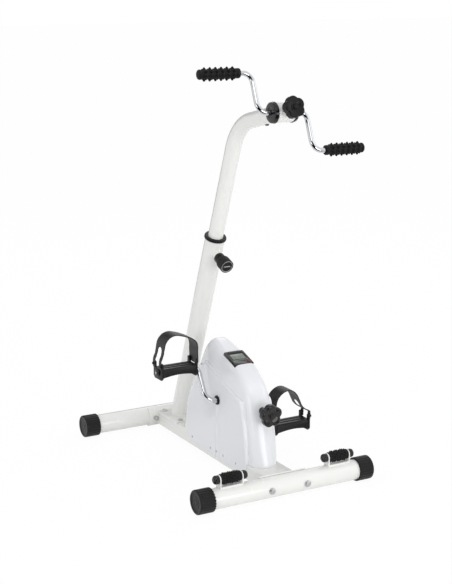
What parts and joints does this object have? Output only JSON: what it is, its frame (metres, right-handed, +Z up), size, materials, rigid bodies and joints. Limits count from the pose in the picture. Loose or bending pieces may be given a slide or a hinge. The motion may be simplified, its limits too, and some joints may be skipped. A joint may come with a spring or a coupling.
{
  "type": "seated pedal exerciser",
  "caption": "Seated exerciser with strapped pedals in a moulded cover, a height-adjustable mast with hand cranks, and massage rollers on the front tube.",
  "frame": {"origin": "on the floor, in the middle of the bounding box's footprint", "axes": "+Z up; the user sits at -Y and faces +Y, with +X on the user's right; the machine's plane of near symmetry is X = 0"},
  "size_m": [0.502, 0.6878, 1.0109],
  "materials": {
    "white_paint": "gloss powder coat",
    "white_shell": "gloss",
    "black_plastic": "satin",
    "black_rubber": "matt",
    "black_steel": "satin",
    "chrome": "polished",
    "steel": "satin",
    "cast_iron": "as cast, turned rim",
    "nylon": "satin",
    "felt": "felt",
    "screen": "clear window over a grey display",
    "button": "gloss"
  },
  "bodies": {
    "base": {"main_beam": "white_paint", "front_stabilizer": "white_paint", "rear_stabilizer": "white_paint", "front_end_cap_left": "black_plastic", "front_end_cap_right": "black_plastic", "rear_end_cap_left": "black_plastic", "rear_end_cap_right": "black_plastic", "front_tube_bolt_left": "black_steel", "front_tube_bolt_right": "black_steel", "rear_tube_bolt_left": "black_steel", "rear_tube_bolt_right": "black_steel", "lower_mast": "white_paint", "mast_foot_bolt_front_left": "steel", "mast_foot_bolt_front_right": "steel", "mast_foot_bolt_rear_left": "steel", "mast_foot_bolt_rear_right": "steel", "mast_collar": "black_plastic", "cover": "white_shell", "slot_cover_left": "white_shell", "slot_cover_right": "white_shell", "crank_ring_left": "black_plastic", "crank_ring_right": "black_plastic", "counter_housing": "black_plastic", "counter_screen": "screen", "bearing_bracket": "steel", "crank_bush_left": "nylon", "crank_bush_right": "nylon", "brake_bracket": "steel", "roller_bracket_left": "white_paint", "roller_bracket_right": "white_paint", "roller_axle_left": "black_plastic", "roller_axle_right": "black_plastic", "roller_axle_nut_left": "black_plastic", "roller_axle_nut_right": "black_plastic"},
    "mast_top": {"upper_mast": "white_paint", "hand_crank_disc_left": "black_plastic", "hand_crank_disc_right": "black_plastic"},
    "hand_crank": {"hand_crank": "chrome"},
    "hand_grip_left": {"hand_grip_left": "black_rubber"},
    "hand_grip_right": {"hand_grip_right": "black_rubber"},
    "upper_knob": {"upper_knob": "black_plastic"},
    "hand_crank_pad": {"hand_crank_pad": "nylon"},
    "height_knob": {"height_knob": "black_plastic"},
    "height_pad": {"height_pad": "nylon"},
    "pedal_crank": {"pedal_crank": "chrome", "resistance_wheel": "cast_iron", "spindle_cap_left": "chrome", "spindle_cap_right": "chrome"},
    "pedal_left": {"pedal_left": "black_plastic", "pedal_strap_left": "black_rubber"},
    "pedal_right": {"pedal_right": "black_plastic", "pedal_strap_right": "black_rubber"},
    "lower_knob": {"lower_knob": "black_plastic"},
    "brake_shoe": {"brake_shoe": "steel", "brake_pad": "felt"},
    "roller_left": {"roller_left": "black_rubber"},
    "roller_right": {"roller_right": "black_rubber"},
    "counter_button": {"counter_button": "button"}
  },
  "joints": [
    {"name": "mast_height", "type": "slide", "parent": "base", "child": "mast_top", "axis": [0, -0.3592, 0.9333], "range_m": [0, 0.12]},
    {"name": "hand_crank_turn", "type": "hinge", "parent": "mast_top", "child": "hand_crank", "pos_m": [0, -0.28103, 0.9076], "axis": [1, 0, 0], "continuous": true},
    {"name": "hand_grip_left_turn", "type": "hinge", "parent": "hand_crank", "child": "hand_grip_left", "pos_m": [0, -0.24626, 0.99515], "axis": [1, 0, 0], "continuous": true},
    {"name": "hand_grip_right_turn", "type": "hinge", "parent": "hand_crank", "child": "hand_grip_right", "pos_m": [0, -0.3158, 0.82005], "axis": [1, 0, 0], "continuous": true},
    {"name": "upper_knob_turn", "type": "hinge", "parent": "mast_top", "child": "upper_knob", "pos_m": [0, -0.28103, 0.9076], "axis": [0, 0.9553, -0.2957], "range_deg": [0, 330]},
    {"name": "hand_crank_pad_slide", "type": "slide", "parent": "mast_top", "child": "hand_crank_pad", "axis": [0, 0.9553, -0.2957], "range_m": [0, 0.00115]},
    {"name": "height_knob_turn", "type": "hinge", "parent": "base", "child": "height_knob", "pos_m": [0, 0.0466, 0.53327], "axis": [0, 0.9333, 0.3592], "range_deg": [0, 330]},
    {"name": "height_pad_slide", "type": "slide", "parent": "base", "child": "height_pad", "axis": [0, 0.9333, 0.3592], "range_m": [0, 0.00115]},
    {"name": "pedal_crank_turn", "type": "hinge", "parent": "base", "child": "pedal_crank", "pos_m": [0, -0.05713, 0.1751], "axis": [1, 0, 0], "continuous": true},
    {"name": "pedal_left_turn", "type": "hinge", "parent": "pedal_crank", "child": "pedal_left", "pos_m": [0, -0.01186, 0.25554], "axis": [1, 0, 0], "continuous": true},
    {"name": "pedal_right_turn", "type": "hinge", "parent": "pedal_crank", "child": "pedal_right", "pos_m": [0, -0.1024, 0.09466], "axis": [1, 0, 0], "continuous": true},
    {"name": "lower_knob_turn", "type": "hinge", "parent": "base", "child": "lower_knob", "pos_m": [0, -0.24043, 0.1805], "axis": [0, 1, 0], "range_deg": [-720, 216]},
    {"name": "brake_shoe_slide", "type": "slide", "parent": "base", "child": "brake_shoe", "axis": [0, 1, 0], "range_m": [-0.0025, 0.00075]},
    {"name": "roller_left_turn", "type": "hinge", "parent": "base", "child": "roller_left", "pos_m": [-0.149, -0.30643, 0.074], "axis": [1, 0, 0], "continuous": true},
    {"name": "roller_right_turn", "type": "hinge", "parent": "base", "child": "roller_right", "pos_m": [0.149, -0.30643, 0.074], "axis": [1, 0, 0], "continuous": true},
    {"name": "counter_button_press", "type": "slide", "parent": "base", "child": "counter_button", "axis": [0, 0.3074, -0.9516], "range_m": [0, 0.0012], "stiffness_N_per_m": 300, "springref_m": -0.001}
  ],
  "couplings": [
    {"joint": "hand_crank_pad_slide", "follows": "upper_knob_turn", "m_per_rad": 0.00019894},
    {"joint": "height_pad_slide", "follows": "height_knob_turn", "m_per_rad": 0.00019894},
    {"joint": "brake_shoe_slide", "follows": "lower_knob_turn", "m_per_rad": 0.00019894}
  ]
}
